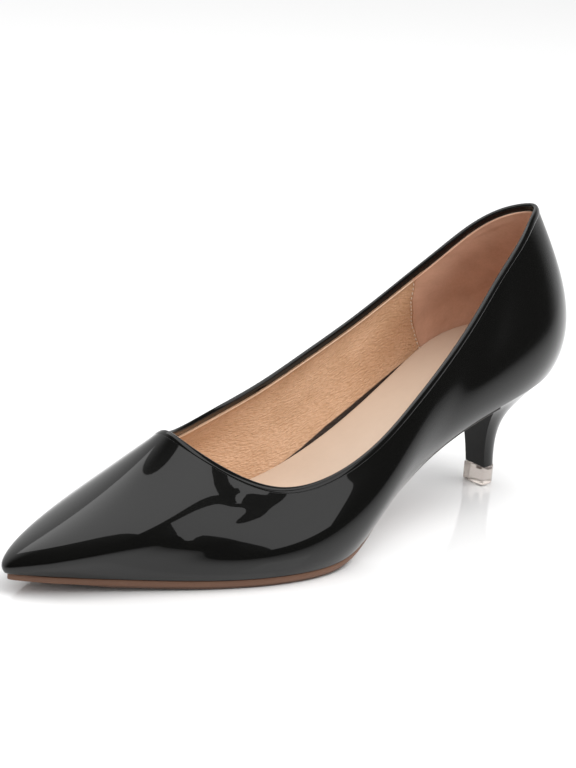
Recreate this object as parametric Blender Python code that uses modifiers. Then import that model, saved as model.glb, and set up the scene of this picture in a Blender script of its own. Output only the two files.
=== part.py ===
"""Kitten heel pump, a left shoe in patent leather with a pointed toe.

Frame: +Z up, the toe points to -Y, the wearer's outer side is +X, and the floor is z = 0.
Sizes below are millimetres; they become metres when the meshes are made.
"""
import math

import bmesh
import bpy
import numpy as np

MM = 0.001

# Driving sizes
WALL = 1.8                  # upper with its lining
FIT_GAP = 0.3               # clearance between pieces that meet
BINDING_OUTSIDE = 2.8       # width of the topline binding on the outside
BINDING_INSIDE = 4.8        # and where it is turned over to the inside
BINDING_RAISE = 0.35
BINDING_SLOPE = 0.5         # length over which the binding's edge rises
BINDING_TURN = 0.6          # where the binding starts to turn over the topline
SOLE_EDGE = 2.4             # visible thickness of the sole's edge in the forepart
WAIST_EDGE = 1.4            # and under the arch
SOLE_TUCK = 0.3             # how far the sole's edge lies inside the upper's lower edge
WAIST_TUCK = 1.0
TREAD_DEPTH = 0.9           # the tread is let down from the plate, inset all round
WAIST_TREAD_DEPTH = 0.4
TREAD_INSET = 1.6
TREAD_TOE_ALONG = 245.0     # the tread stops short of the toe tip
TREAD_TOE_START = 222.0
TREAD_BEVEL = 0.3
WAIST_END = 105.0           # between these two distances the waist becomes the forepart
FOREPART_START = 145.0
INSOLE_FOOT_INSET = 2.7     # the insole's lower edge, inside the upper's lower edge
INSOLE_ROUND = 0.9
BREAST_ALONG = 47.5         # where the sole ends and the heel's front face starts
SEAT_INSET = 0.4            # the heel's upper edge, inside the upper's lower edge
FOOT_FRONT = 31.2           # front face of the heel's foot, from the back of the seat
FOOT_DEPTH = 8.0
FOOT_HALF_WIDTH = 5.3
FOOT_ACROSS = -1.0          # the foot stands a little to the inner side
FOOT_BACK_POWER = 0.8       # below 1, these fill out the half round of the foot's back
FOOT_SIDE_POWER = 0.9
TIP_HEIGHT = 7.4
TIP_PROUD = 0.3
TIP_BEVEL = 0.35
WELD_DISTANCE = 0.001
CENTRE_ALONG = 124.4        # middle of the whole shoe, from the back of the seat
CENTRE_ACROSS = 2.6
SHARP_ANGLE = 35.0          # edges sharper than this many degrees are shaded as edges

# The last, one row for each station from the toe tip to the back of the heel.
# along: distance from the back of the seat; outer, inner: half widths; height above the floor.
# flare: how far the wall leans outwards where it leaves the sole, in degrees; rise: how long it does.
FEATHER_COLUMNS = ("along", "outer", "inner", "height", "flare", "rise")
FEATHER = [
    (252.0, -5.5, 5.5, 7.0, 40.0, 10.5),
    (246.5, 0.8, 10.2, 7.0, 39.5, 10.5),
    (233.5, 8.5, 16.3, 6.1, 35.0, 11.0),
    (210.0, 21.0, 25.0, 4.6, 29.5, 12.5),
    (184.5, 34.0, 33.5, 3.6, 28.5, 14.0),
    (158.5, 42.3, 36.0, 3.6, 28.0, 15.0),
    (134.0, 41.5, 31.0, 5.3, 28.0, 15.0),
    (111.5, 33.2, 23.5, 14.3, 33.0, 15.0),
    (85.5, 27.2, 20.5, 28.2, 33.5, 16.0),
    (58.5, 27.0, 23.5, 40.0, 30.5, 18.5),
    (31.5, 25.8, 27.0, 47.1, 27.5, 20.5),
    (10.0, 16.3, 18.3, 50.5, 27.0, 22.0),
    (0.0, -1.0, 1.0, 51.4, 28.5, 23.0),
]
# The topline, a row for each of the same stations; it is a little higher on the inner side.
# lean: how far the wall leans inwards below the topline, in degrees; drop: how long it does.
TOPLINE_COLUMNS = ("along", "outer", "inner", "outer_height", "inner_height", "lean", "drop")
TOPLINE = [
    (187.0, -1.0, 1.0, 49.1, 49.1, 51.0, 46.0),
    (184.4, 9.1, 9.1, 46.0, 46.3, 51.0, 43.5),
    (174.5, 20.1, 21.3, 38.4, 40.3, 48.5, 33.0),
    (160.0, 30.8, 30.6, 33.1, 36.3, 38.0, 20.5),
    (140.5, 35.5, 34.5, 35.4, 39.4, 27.5, 14.2),
    (119.5, 35.0, 33.8, 43.1, 46.6, 20.5, 12.0),
    (99.5, 31.4, 31.0, 53.8, 57.0, 15.5, 12.0),
    (80.0, 26.8, 27.0, 65.7, 68.8, 13.5, 13.0),
    (61.5, 22.2, 22.5, 79.5, 82.0, 14.0, 15.0),
    (45.5, 17.4, 17.9, 92.7, 94.3, 15.8, 17.5),
    (31.8, 13.6, 14.1, 103.7, 104.1, 19.3, 20.0),
    (20.0, 7.5, 8.0, 110.7, 110.7, 23.0, 21.5),
    (12.5, 0.0, 0.0, 113.0, 113.0, 26.0, 22.5),
]
STATION_COUNT = len(FEATHER)
# The insole, from toe to heel: its thickness and the gap it leaves to the lining on either side.
INSOLE_COLUMNS = ("along", "outer_gap", "inner_gap", "thickness")
INSOLE = [
    (252.0, 4.0, 4.0, 3.0),
    (235.0, 0.5, 0.5, 3.0),
    (128.0, 0.5, 0.5, 3.2),
    (110.0, 1.2, 1.8, 3.4),
    (92.0, 2.6, 4.0, 3.8),
    (76.0, 2.0, 2.8, 4.2),
    (58.0, 0.7, 0.7, 4.8),
    (40.0, 0.5, 0.5, 5.8),
    (20.0, 0.5, 0.5, 6.6),
    (-2.0, 0.5, 0.5, 6.6),
]
# How the heel leaves its foot and meets the seat, at its back and at its front corners.
# rise_along, rise_up: first stretch of the curve; the rest are shares of the way back from the seat.
HEEL_COLUMNS = ("rise_along", "rise_up", "share_along", "share_across", "share_up")
HEEL_BACK = (0.6, 26.5, 0.54, 0.60, 0.66)
HEEL_FRONT = (3.2, 22.5, 0.92, 0.69, 0.15)

UPPER_COLUMNS_AROUND = 96
UPPER_HEIGHTS = (0.0, 0.07, 0.16, 0.27, 0.39, 0.51, 0.63, 0.75, 0.86)
SOLE_STATIONS = 38
INSOLE_STATIONS = 42
HEEL_RING_HALF = 15
HEEL_LEVELS = 16


def column(rows, names, name):
    """One named column of a table."""
    return np.array([row[names.index(name)] for row in rows])


def periodic_spline(knots, values, query):
    """Smooth closed curve of period 1 through the values at the knots."""
    count = len(knots)
    step = np.diff(np.append(knots, knots[0] + 1.0))
    matrix = np.zeros((count, count))
    right = np.zeros((count, values.shape[1]))
    for i in range(count):
        after = (i + 1) % count
        matrix[i, i - 1] += step[i - 1]
        matrix[i, i] += 2.0 * (step[i - 1] + step[i])
        matrix[i, after] += step[i]
        slope_out = (values[after] - values[i]) / step[i]
        slope_in = (values[i] - values[i - 1]) / step[i - 1]
        right[i] = 6.0 * (slope_out - slope_in)
    bend = np.linalg.solve(matrix, right)
    place = np.mod(query - knots[0], 1.0) + knots[0]
    cell = np.clip(np.searchsorted(knots, place, side="right") - 1, 0, count - 1)
    width = step[cell][:, None]
    to_end = (knots[cell] + step[cell] - place)[:, None]
    from_start = (place - knots[cell])[:, None]
    start, end = values[cell], values[(cell + 1) % count]
    bend_start, bend_end = bend[cell], bend[(cell + 1) % count]
    curve = (bend_start * to_end**3 + bend_end * from_start**3) / (6.0 * width)
    curve += (start / width - bend_start * width / 6.0) * to_end
    curve += (end / width - bend_end * width / 6.0) * from_start
    return curve


def closed_loop(outer_side, inner_side):
    """Toe to heel along the outer side, then back to the toe along the inner side."""
    return np.concatenate([outer_side, inner_side[-2:0:-1]])


def loop_values(rows, names, around):
    """A table's columns at places around the shoe: 0 toe tip, 0.5 back of the heel."""
    half = np.linspace(0.0, 0.5, STATION_COUNT)
    knots = np.concatenate([half, 1.0 - half[-2:0:-1]])
    columns = []
    for name in names:
        values = column(rows, names, name)
        if name == "outer":
            columns.append(closed_loop(values, -column(rows, names, "inner")))
        elif name == "outer_height":
            columns.append(closed_loop(values, column(rows, names, "inner_height")))
        elif not name.startswith("inner"):
            columns.append(closed_loop(values, values))
    return periodic_spline(knots, np.stack(columns, axis=1), around)


def outward(rows, names, around):
    """Plan direction square to the loop, pointing out of the shoe."""
    step = 1e-4
    run = loop_values(rows, names, around + step) - loop_values(rows, names, around - step)
    normal = np.stack([-run[:, 1], run[:, 0]], axis=1)
    normal /= np.linalg.norm(normal, axis=1)[:, None]
    widest = np.argmax(loop_values(rows, names, around)[:, 1])
    return normal if normal[widest, 1] > 0.0 else -normal


def leaning(normal, degrees, sign):
    """Unit directions that lean by an angle from upright along the plan normals."""
    angle = np.radians(degrees)
    sideways = sign * normal * np.sin(angle)[:, None]
    return np.column_stack([sideways, np.cos(angle)])


def wall_handles(around):
    """The four control points of the wall's curve at each place around the shoe."""
    low = loop_values(FEATHER, FEATHER_COLUMNS, around)
    top = loop_values(TOPLINE, TOPLINE_COLUMNS, around)
    low_lean = leaning(outward(FEATHER, FEATHER_COLUMNS, around), low[:, 3], 1.0)
    top_lean = leaning(outward(TOPLINE, TOPLINE_COLUMNS, around), top[:, 3], -1.0)
    start, end = low[:, 0:3], top[:, 0:3]
    return start, start + low[:, 4:5] * low_lean, end - top[:, 4:5] * top_lean, end


def wall_points(around, height):
    """Points of the upper's outer face; height runs from 0 at the sole to 1 at the topline."""
    start, first, second, end = wall_handles(around)
    h = height[:, None]
    k = 1.0 - h
    return k**3 * start + 3.0 * k**2 * h * first + 3.0 * k * h**2 * second + h**3 * end


def wall_offset(around, height, distance):
    """Points a distance out from the upper's outer face, along its normal."""
    step = 1e-4
    inside = np.clip(height, step, 1.0 - step)
    along = wall_points(around + step, inside) - wall_points(around - step, inside)
    up = wall_points(around, inside + step) - wall_points(around, inside - step)
    normal = np.cross(along, up)
    normal /= np.linalg.norm(normal, axis=1)[:, None]
    plan = outward(FEATHER, FEATHER_COLUMNS, around)
    sign = np.sign(np.sum(normal[:, 0:2] * plan))
    return wall_points(around, height) + sign * distance * normal


def height_below_top(around, distance):
    """The wall height that lies a distance below the topline, measured along the wall."""
    samples = np.linspace(1.0, 0.5, 41)
    rows = [wall_points(around, np.full(len(around), s)) for s in samples]
    lengths = np.zeros((len(samples), len(around)))
    for i in range(1, len(samples)):
        lengths[i] = lengths[i - 1] + np.linalg.norm(rows[i] - rows[i - 1], axis=1)
    return np.array([np.interp(distance, lengths[:, i], samples) for i in range(len(around))])


def bed_height(along):
    """Height of the surface that the upper's lower edge lies in, at a distance from the back."""
    edge = loop_values(FEATHER, FEATHER_COLUMNS, np.linspace(0.5, 0.0, 401))
    return np.interp(along, edge[:, 0], edge[:, 2])


def feather_inset(around, inset):
    """The upper's lower edge, moved inwards in plan along the surface that it lies in."""
    points = loop_values(FEATHER, FEATHER_COLUMNS, around)[:, 0:3]
    points[:, 0:2] -= inset[:, None] * outward(FEATHER, FEATHER_COLUMNS, around)
    points[:, 2] = bed_height(points[:, 0])
    return points


def to_metres(points):
    """Shoe sizes (along, across, height) in millimetres to the part's frame."""
    across = points[:, 1] - CENTRE_ACROSS
    along = CENTRE_ALONG - points[:, 0]
    return np.stack([across, along, points[:, 2]], axis=1) * MM


def add_object(collection, name, vertices, faces, material):
    """A closed mesh object with its normals pointing out."""
    mesh = bpy.data.meshes.new(name)
    mesh.from_pydata([tuple(v) for v in vertices], [], faces)
    work = bmesh.new()
    work.from_mesh(mesh)
    bmesh.ops.recalc_face_normals(work, faces=work.faces)
    bmesh.ops.triangulate(work, faces=work.faces, quad_method="SHORT_EDGE")
    work.to_mesh(mesh)
    work.free()
    mesh.materials.append(material)
    mesh.shade_smooth()
    mesh.set_sharp_from_angle(angle=math.radians(SHARP_ANGLE))
    piece = bpy.data.objects.new(name, mesh)
    collection.objects.link(piece)
    return piece


def band_faces(lower, upper, count):
    """Quads between two closed rings of the same length, given their first vertices."""
    return [(lower + i, lower + (i + 1) % count, upper + (i + 1) % count, upper + i) for i in range(count)]


def ladder_faces(first, count):
    """A cap whose rungs run straight across the shoe between vertices i and count - i."""
    faces = []
    for i in range(count // 2):
        corners = [i, i + 1, (count - i - 1) % count, (count - i) % count]
        unique = list(dict.fromkeys(corners))
        if len(unique) > 2:
            faces.append(tuple(first + c for c in unique))
    return faces


def closed_shell(collection, name, rings, material):
    """A hollow wall: rings around the shoe that follow each other and close on the first."""
    count = len(rings[0])
    faces = []
    for i in range(len(rings)):
        faces += band_faces(i * count, (i + 1) % len(rings) * count, count)
    return add_object(collection, name, np.concatenate([to_metres(r) for r in rings]), faces, material)


def capped_loft(collection, name, rings, material):
    """A solid from stacked rings with a cap on the first and on the last."""
    count = len(rings[0])
    faces = ladder_faces(0, count)
    for i in range(len(rings) - 1):
        faces += band_faces(i * count, (i + 1) * count, count)
    faces += ladder_faces((len(rings) - 1) * count, count)
    return add_object(collection, name, np.concatenate([to_metres(r) for r in rings]), faces, material)


def make_material(name, colour, roughness, coat=0.0, transmission=0.0):
    """A Principled material with one colour."""
    material = bpy.data.materials.new(name)
    material.use_nodes = True
    shader = material.node_tree.nodes["Principled BSDF"]
    shader.inputs["Base Color"].default_value = (*colour, 1.0)
    shader.inputs["Roughness"].default_value = roughness
    shader.inputs["Metallic"].default_value = 0.0
    shader.inputs["Coat Weight"].default_value = coat
    shader.inputs["Transmission Weight"].default_value = transmission
    material.diffuse_color = (*colour, 1.0)
    return material


def build_upper(collection, material):
    """The hollow upper: outer face, binding turned over the topline, inner face, lower rim."""
    around = np.arange(UPPER_COLUMNS_AROUND) / UPPER_COLUMNS_AROUND
    count = len(around)

    def ring(height, distance):
        return wall_offset(around, height, distance)

    outside = [ring(np.full(count, h), 0.0) for h in UPPER_HEIGHTS]
    edge_out = height_below_top(around, BINDING_OUTSIDE + BINDING_SLOPE)
    lip_out = height_below_top(around, BINDING_OUTSIDE)
    edge_in = height_below_top(around, BINDING_INSIDE + BINDING_SLOPE)
    lip_in = height_below_top(around, BINDING_INSIDE)
    near_top = height_below_top(around, BINDING_TURN)
    top = np.ones(count)
    binding = [
        ring(edge_out, 0.0),
        ring(lip_out, BINDING_RAISE),
        ring(near_top, BINDING_RAISE),
        ring(top, -0.5 * WALL),
        ring(near_top, -WALL - BINDING_RAISE),
        ring(lip_in, -WALL - BINDING_RAISE),
        ring(edge_in, -WALL),
    ]
    inside = [ring(np.full(count, h), -WALL) for h in reversed(UPPER_HEIGHTS[:-1])]
    return closed_shell(collection, "upper", outside + binding + inside, material)


def around_for_along(target):
    """Where around the outer side the lower edge passes a distance from the heel's back."""
    around = np.linspace(0.0, 0.5, 401)
    along = loop_values(FEATHER, FEATHER_COLUMNS, around)[:, 0]
    return float(np.interp(-target, -along, around))


def smooth_step(low, high, value):
    """0 below low, 1 above high, and a smooth rise between."""
    share = np.clip((value - low) / (high - low), 0.0, 1.0)
    return share * share * (3.0 - 2.0 * share)


def build_outsole(collection, material):
    """The sole: a plate under the upper with a thinner tread let down from it."""
    last = around_for_along(BREAST_ALONG + FIT_GAP)
    outer = np.linspace(0.0, last, SOLE_STATIONS)
    around = np.concatenate([outer, 1.0 - outer[:0:-1]])
    along = loop_values(FEATHER, FEATHER_COLUMNS, around)[:, 0]
    forepart = smooth_step(WAIST_END, FOREPART_START, along)
    tuck = WAIST_TUCK + forepart * (SOLE_TUCK - WAIST_TUCK)
    edge = WAIST_EDGE + forepart * (SOLE_EDGE - WAIST_EDGE)
    tread = WAIST_TREAD_DEPTH + forepart * (TREAD_DEPTH - WAIST_TREAD_DEPTH)
    tread_inset = tuck + TREAD_INSET

    def ring(inset, drop):
        points = feather_inset(around, inset)
        points[:, 2] -= FIT_GAP + drop
        return points

    tread_top = shorten_toe(ring(tread_inset, edge))
    tread_bottom = shorten_toe(ring(tread_inset + TREAD_BEVEL, edge + tread))
    tread_bottom[:, 2] = np.maximum(tread_bottom[:, 2], 0.0)
    rings = [ring(tuck, 0.0), ring(tuck, edge), tread_top, tread_bottom]
    return capped_loft(collection, "outsole", rings, material)


def shorten_toe(points):
    """Draw the toe end of an outline back, so that the tread stops short of the tip."""
    share = (TREAD_TOE_ALONG - TREAD_TOE_START) / (FEATHER[0][0] - TREAD_TOE_START)
    ahead = points[:, 0] > TREAD_TOE_START
    points[ahead, 0] = TREAD_TOE_START + share * (points[ahead, 0] - TREAD_TOE_START)
    return points


def insole_values(around, name):
    """A column of the insole's table at each place around the shoe."""
    along = loop_values(FEATHER, FEATHER_COLUMNS, around)[:, 0]
    knots = column(INSOLE, INSOLE_COLUMNS, "along")[::-1]
    return np.interp(along, knots, column(INSOLE, INSOLE_COLUMNS, name)[::-1])


def insole_gap(around):
    """The gap between the insole's edge and the lining, on the outer and on the inner side."""
    return np.where(around <= 0.5, insole_values(around, "outer_gap"), insole_values(around, "inner_gap"))


def beside_lining(around, lift, gap):
    """Points a gap inside the lining, at a height over the upper's lower edge."""
    heights = np.linspace(0.0, 0.8, 61)
    walls = np.stack([wall_offset(around, np.full(len(around), h), -WALL) for h in heights], axis=1)
    base = loop_values(FEATHER, FEATHER_COLUMNS, around)[:, 2]
    points = np.zeros((len(around), 3))
    for i in range(len(around)):
        lifts = walls[i, :, 2] - base[i]
        points[i] = [np.interp(lift[i], lifts, walls[i, :, axis]) for axis in range(3)]
    points[:, 0:2] -= gap[:, None] * outward(FEATHER, FEATHER_COLUMNS, around)
    points[:, 2] = bed_height(points[:, 0]) + lift
    return points


def build_insole(collection, material):
    """The padded insole: it lies on the sole and the heel and follows the lining."""
    outer = np.linspace(0.0, 0.5, INSOLE_STATIONS)
    around = np.concatenate([outer, 1.0 - outer[-2:0:-1]])
    gap = insole_gap(around)
    thickness = insole_values(around, "thickness")
    foot = feather_inset(around, INSOLE_FOOT_INSET + gap)
    shoulder = thickness - 0.5 * INSOLE_ROUND
    rings = [
        foot,
        beside_lining(around, 0.5 * thickness, gap),
        beside_lining(around, shoulder, gap),
        beside_lining(around, thickness, gap + INSOLE_ROUND),
    ]
    return capped_loft(collection, "insole", rings, material)


def heel_foot_ring(proud, height):
    """A D-shaped ring, flat in front: from the middle of the back round to both front corners."""
    turn = np.linspace(0.0, 0.5 * math.pi, HEEL_RING_HALF)
    back = FOOT_FRONT + proud - (FOOT_DEPTH + 2.0 * proud) * np.cos(turn) ** FOOT_BACK_POWER
    across = (FOOT_HALF_WIDTH + proud) * np.sin(turn) ** FOOT_SIDE_POWER
    outer = np.stack([back, across, np.full(HEEL_RING_HALF, height)], axis=1)
    inner = outer[:0:-1] * np.array([1.0, -1.0, 1.0])
    return np.concatenate([outer, inner]) + np.array([0.0, FOOT_ACROSS, 0.0])


def seat_ring():
    """The heel's upper edge: the back of the upper's lower edge, closed by the breast."""
    outer = np.linspace(0.5, around_for_along(BREAST_ALONG), HEEL_RING_HALF)
    around = np.concatenate([outer, 1.0 - outer[:0:-1]])
    points = feather_inset(around, np.full(len(around), SEAT_INSET))
    points[:, 2] -= FIT_GAP
    return points


def heel_value(name, frontness):
    """A heel value that changes from the back to the front corners."""
    place = HEEL_COLUMNS.index(name)
    return HEEL_BACK[place] + frontness * (HEEL_FRONT[place] - HEEL_BACK[place])


def build_heel(collection, material):
    """The heel: from its small foot it rises upright and sweeps out to the seat."""
    foot = heel_foot_ring(0.0, TIP_HEIGHT + FIT_GAP)
    seat = seat_ring()
    turn = np.linspace(0.0, 1.0, HEEL_RING_HALF)
    frontness = np.concatenate([turn, turn[:0:-1]])
    zero = np.zeros(len(frontness))
    rise = np.stack([heel_value("rise_along", frontness), zero, heel_value("rise_up", frontness)], axis=1)
    shares = ("share_along", "share_across", "share_up")
    share = np.stack([heel_value(name, frontness) for name in shares], axis=1)
    first = foot + rise
    second = seat - (seat - foot) * share
    rings = []
    for h in np.linspace(0.0, 1.0, HEEL_LEVELS):
        k = 1.0 - h
        rings.append(k**3 * foot + 3.0 * k**2 * h * first + 3.0 * k * h**2 * second + h**3 * seat)
    return capped_loft(collection, "heel", rings, material)


def build_heel_tip(collection, material):
    """The clear top piece that the heel stands on: the foot's outline as a flat curve, extruded."""
    outline = bpy.data.curves.new("heel_tip_outline", "CURVE")
    outline.dimensions = "2D"
    outline.fill_mode = "BOTH"
    outline.extrude = 0.5 * TIP_HEIGHT * MM
    points = to_metres(heel_foot_ring(TIP_PROUD, 0.0))
    spline = outline.splines.new("POLY")
    spline.points.add(len(points) - 1)
    for i in range(len(points)):
        spline.points[i].co = (*points[i], 1.0)
    spline.use_cyclic_u = True
    outline.materials.append(material)
    piece = bpy.data.objects.new("heel_tip", outline)
    piece.location.z = 0.5 * TIP_HEIGHT * MM
    collection.objects.link(piece)
    weld = piece.modifiers.new("close_caps", "WELD")
    weld.merge_threshold = WELD_DISTANCE * MM
    bevel = piece.modifiers.new("soften_rims", "BEVEL")
    bevel.width = TIP_BEVEL * MM
    bevel.segments = 2
    bevel.limit_method = "ANGLE"
    bevel.angle_limit = math.radians(SHARP_ANGLE)
    return piece


def clear_scene():
    """Remove what the file holds."""
    for item in list(bpy.data.objects):
        bpy.data.objects.remove(item, do_unlink=True)


def main():
    clear_scene()
    collection = bpy.data.collections.new("kitten_heel_pump")
    bpy.context.scene.collection.children.link(collection)
    build_upper(collection, make_material("black_patent", (0.012, 0.012, 0.013), 0.08, coat=1.0))
    build_outsole(collection, make_material("brown_sole", (0.30, 0.17, 0.10), 0.45))
    build_insole(collection, make_material("beige_insole", (0.76, 0.58, 0.44), 0.5))
    build_heel(collection, make_material("black_heel", (0.010, 0.010, 0.011), 0.12, coat=1.0))
    build_heel_tip(collection, make_material("clear_tip", (0.85, 0.80, 0.79), 0.08, transmission=0.9))


main()
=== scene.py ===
import math
import bmesh
import bpy
import numpy as np
from mathutils import Matrix, Vector


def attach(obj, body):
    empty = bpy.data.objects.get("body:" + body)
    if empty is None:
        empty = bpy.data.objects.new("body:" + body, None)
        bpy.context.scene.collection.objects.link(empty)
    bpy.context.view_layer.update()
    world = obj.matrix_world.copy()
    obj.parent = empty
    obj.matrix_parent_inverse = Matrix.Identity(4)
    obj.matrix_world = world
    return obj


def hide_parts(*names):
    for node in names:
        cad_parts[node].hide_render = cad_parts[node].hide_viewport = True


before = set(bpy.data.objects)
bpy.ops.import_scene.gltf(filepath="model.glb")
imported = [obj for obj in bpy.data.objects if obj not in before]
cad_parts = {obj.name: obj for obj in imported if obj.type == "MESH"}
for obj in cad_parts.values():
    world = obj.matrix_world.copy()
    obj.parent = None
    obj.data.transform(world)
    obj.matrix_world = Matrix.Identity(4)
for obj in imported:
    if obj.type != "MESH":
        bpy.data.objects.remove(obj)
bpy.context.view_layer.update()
bpy.ops.object.select_all(action="DESELECT")
print("frame loaded")

# The shoe is worked out in millimetres: along from the back of the seat, across to the outer side, height
millimetre = 0.001
shoe = {
    "wall": 1.8,               # upper with its lining
    "centreAlong": 124.4,      # middle of the whole shoe
    "centreAcross": 2.6,
    "smoothAngle": 35.0,
    "footMiddle": 16.0,        # middle of the foot, over the bed
    "seamMerge": 0.00001,      # metres, closes a ring of faces
    "uvLength": 100.0,         # millimetres that one unit of the UV map covers
}

# Rows run from the toe tip to the back of the heel, at even places around the shoe
featherColumns = ("along", "outer", "inner", "height", "flare", "rise")
featherRows = [
    (252.0, -5.5, 5.5, 7.0, 40.0, 10.5),
    (246.5, 0.8, 10.2, 7.0, 39.5, 10.5),
    (233.5, 8.5, 16.3, 6.1, 35.0, 11.0),
    (210.0, 21.0, 25.0, 4.6, 29.5, 12.5),
    (184.5, 34.0, 33.5, 3.6, 28.5, 14.0),
    (158.5, 42.3, 36.0, 3.6, 28.0, 15.0),
    (134.0, 41.5, 31.0, 5.3, 28.0, 15.0),
    (111.5, 33.2, 23.5, 14.3, 33.0, 15.0),
    (85.5, 27.2, 20.5, 28.2, 33.5, 16.0),
    (58.5, 27.0, 23.5, 40.0, 30.5, 18.5),
    (31.5, 25.8, 27.0, 47.1, 27.5, 20.5),
    (10.0, 16.3, 18.3, 50.5, 27.0, 22.0),
    (0.0, -1.0, 1.0, 51.4, 28.5, 23.0),
]
toplineColumns = ("along", "outer", "inner", "outerHeight", "innerHeight", "lean", "drop")
toplineRows = [
    (187.0, -1.0, 1.0, 49.1, 49.1, 51.0, 46.0),
    (184.4, 9.1, 9.1, 46.0, 46.3, 51.0, 43.5),
    (174.5, 20.1, 21.3, 38.4, 40.3, 48.5, 33.0),
    (160.0, 30.8, 30.6, 33.1, 36.3, 38.0, 20.5),
    (140.5, 35.5, 34.5, 35.4, 39.4, 27.5, 14.2),
    (119.5, 35.0, 33.8, 43.1, 46.6, 20.5, 12.0),
    (99.5, 31.4, 31.0, 53.8, 57.0, 15.5, 12.0),
    (80.0, 26.8, 27.0, 65.7, 68.8, 13.5, 13.0),
    (61.5, 22.2, 22.5, 79.5, 82.0, 14.0, 15.0),
    (45.5, 17.4, 17.9, 92.7, 94.3, 15.8, 17.5),
    (31.8, 13.6, 14.1, 103.7, 104.1, 19.3, 20.0),
    (20.0, 7.5, 8.0, 110.7, 110.7, 23.0, 21.5),
    (12.5, 0.0, 0.0, 113.0, 113.0, 26.0, 22.5),
]


def tableColumn(rows, names, name):
    return np.array([row[names.index(name)] for row in rows])


def makeLoop(rows, names):
    # closed curves of period 1 through a table's columns, with no kink in slope or bend
    half = np.linspace(0.0, 0.5, len(rows))
    knots = np.concatenate([half, 1.0 - half[-2:0:-1]])
    columns = []
    for name in names:
        if name.startswith("inner"):
            continue
        outer = tableColumn(rows, names, name)
        inner = outer
        if name == "outer":
            inner = -tableColumn(rows, names, "inner")
        if name == "outerHeight":
            inner = tableColumn(rows, names, "innerHeight")
        columns.append(np.concatenate([outer, inner[-2:0:-1]]))
    values = np.stack(columns, axis=1)
    step = np.diff(np.append(knots, knots[0] + 1.0))
    count = len(knots)
    matrix = np.zeros((count, count))
    right = np.zeros(values.shape)
    for i in range(count):
        after = (i + 1) % count
        matrix[i, i - 1] += step[i - 1]
        matrix[i, i] += 2.0 * (step[i - 1] + step[i])
        matrix[i, after] += step[i]
        slopeOut = (values[after] - values[i]) / step[i]
        slopeIn = (values[i] - values[i - 1]) / step[i - 1]
        right[i] = 6.0 * (slopeOut - slopeIn)
    return {"knots": knots, "step": step, "values": values, "bend": np.linalg.solve(matrix, right)}


feather = makeLoop(featherRows, featherColumns)      # the upper's lower edge
topline = makeLoop(toplineRows, toplineColumns)


def loopValues(loop, around):
    # around: 0 toe tip, 0.25 outer side, 0.5 back of the heel, 0.75 inner side
    knots, step, values, bend = loop["knots"], loop["step"], loop["values"], loop["bend"]
    place = np.mod(np.asarray(around, float), 1.0)
    cell = np.clip(np.searchsorted(knots, place, side="right") - 1, 0, len(knots) - 1)
    after = (cell + 1) % len(knots)
    width = step[cell][:, None]
    toEnd = (knots[cell] + step[cell] - place)[:, None]
    fromStart = (place - knots[cell])[:, None]
    curve = (bend[cell] * toEnd**3 + bend[after] * fromStart**3) / (6.0 * width)
    curve += (values[cell] / width - bend[cell] * width / 6.0) * toEnd
    curve += (values[after] / width - bend[after] * width / 6.0) * fromStart
    return curve


def outward(loop, around):
    # plan direction square to the loop, pointing out of the shoe
    step = 1e-4
    run = loopValues(loop, around + step) - loopValues(loop, around - step)
    normal = np.stack([run[:, 1], -run[:, 0]], axis=1)
    return normal / np.linalg.norm(normal, axis=1)[:, None]


def leaning(normal, degrees, sign):
    angle = np.radians(degrees)
    return np.column_stack([sign * normal * np.sin(angle)[:, None], np.cos(angle)])


def wallPoints(around, height):
    # the upper's outer face; height, one or one for each place, runs from 0 at the sole to 1 at the topline
    low = loopValues(feather, around)
    top = loopValues(topline, around)
    lowLean = leaning(outward(feather, around), low[:, 3], 1.0)
    topLean = leaning(outward(topline, around), top[:, 3], -1.0)
    start, end = low[:, 0:3], top[:, 0:3]
    first = start + low[:, 4:5] * lowLean
    second = end - top[:, 4:5] * topLean
    h = np.asarray(height, float)[..., None]
    k = 1.0 - h
    return k**3 * start + 3.0 * k**2 * h * first + 3.0 * k * h**2 * second + h**3 * end


def wallOffset(around, height, distance):
    # a distance out from the outer face, along its normal
    step = 1e-4
    inside = np.clip(height, step, 1.0 - step)
    run = wallPoints(around + step, inside) - wallPoints(around - step, inside)
    up = wallPoints(around, inside + step) - wallPoints(around, inside - step)
    normal = np.cross(run, up)
    normal /= np.linalg.norm(normal, axis=1)[:, None]
    return wallPoints(around, height) + np.asarray(distance)[..., None] * normal


climbLevels = np.linspace(1.0, 0.4, 61)
climbPlaces = np.arange(720) / 720.0


def wallClimb(around):
    # distance along the wall from the topline down to each level
    climb = [wallPoints(around, level) for level in climbLevels]
    lengths = np.zeros((len(climbLevels), len(around)))
    for i in range(1, len(climbLevels)):
        lengths[i] = lengths[i - 1] + np.linalg.norm(climb[i] - climb[i - 1], axis=1)
    return lengths


climbLengths = wallClimb(climbPlaces)


def heightBelowTop(around, distance):
    # the wall height that lies a distance below the topline, measured along the wall
    levels = [np.interp(distance, climbLengths[:, i], climbLevels) for i in range(len(climbPlaces))]
    return np.interp(around, climbPlaces, levels, period=1.0)


def bedHeight(along):
    edge = loopValues(feather, np.linspace(0.5, 0.0, 801))
    return np.interp(along, edge[:, 0], edge[:, 2])


def featherInset(around, inset):
    # the upper's lower edge, moved inwards along the surface that it lies in
    points = loopValues(feather, around)[:, 0:3]
    points[:, 0:2] -= np.asarray(inset)[..., None] * outward(feather, around)
    points[:, 2] = bedHeight(points[:, 0])
    return points


def aroundForAlong(target):
    around = np.linspace(0.0, 0.5, 801)
    along = loopValues(feather, around)[:, 0]
    return float(np.interp(-target, -along, around))


def smoothStep(low, high, value):
    share = np.clip((np.asarray(value, float) - low) / (high - low), 0.0, 1.0)
    return share * share * (3.0 - 2.0 * share)


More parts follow.
